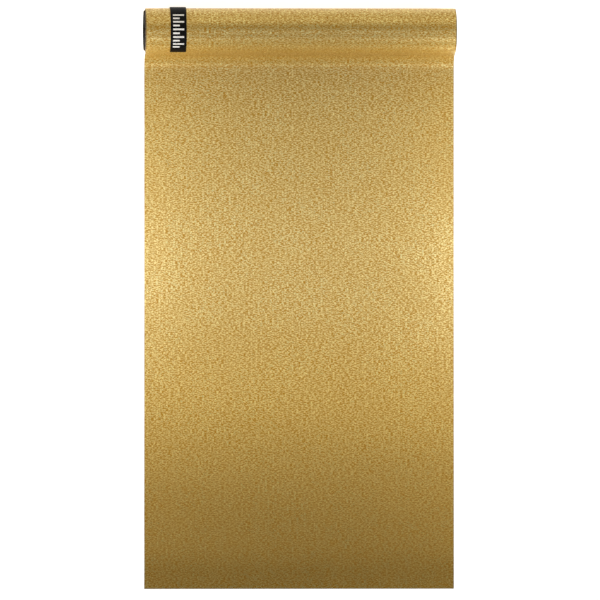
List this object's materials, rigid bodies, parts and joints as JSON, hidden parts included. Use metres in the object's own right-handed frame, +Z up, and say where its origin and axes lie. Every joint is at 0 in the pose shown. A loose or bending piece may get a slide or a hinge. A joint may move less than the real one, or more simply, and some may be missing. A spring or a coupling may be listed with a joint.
{
  "type": "roll of sign vinyl",
  "caption": "Gold linen-embossed sign vinyl with its release liner on a card core, partly unrolled from the top of the roll, with end plugs and a blank label.",
  "frame": {"origin": "on the table, under the middle of the whole outline", "axes": "+X along the roll to the right, +Y from the free end of the sheet to the roll, +Z up"},
  "size_m": [0.614, 1.1432, 0.088],
  "materials": {
    "film": "satin metallic gold with a linen emboss",
    "liner": "coated release paper",
    "core": "spiral-wound kraft board",
    "tape": "double-sided tape",
    "plug": "moulded black plastic, fine texture",
    "label": "black coated label with a plain white scale of bars"
  },
  "bodies": {
    "unrolled_web": {"film_outer_turn": "film", "liner_outer_turn": "liner", "film_sheet": "film", "liner_sheet": "liner", "label": "label"},
    "wound_roll": {"core_tube": "core", "core_tape": "tape", "film_roll": "film", "liner_roll": "liner"},
    "left_plug": {"left_end_plug": "plug"},
    "right_plug": {"right_end_plug": "plug"}
  },
  "joints": [
    {"name": "roll_spin", "type": "hinge", "parent": "unrolled_web", "child": "wound_roll", "pos_m": [0, 0.52541, 0.04379], "axis": [1, 0, 0], "continuous": true},
    {"name": "left_plug_pull", "type": "slide", "parent": "wound_roll", "child": "left_plug", "axis": [-1, 0, 0], "range_m": [0, 0.04]},
    {"name": "right_plug_pull", "type": "slide", "parent": "wound_roll", "child": "right_plug", "axis": [1, 0, 0], "range_m": [0, 0.04]}
  ]
}
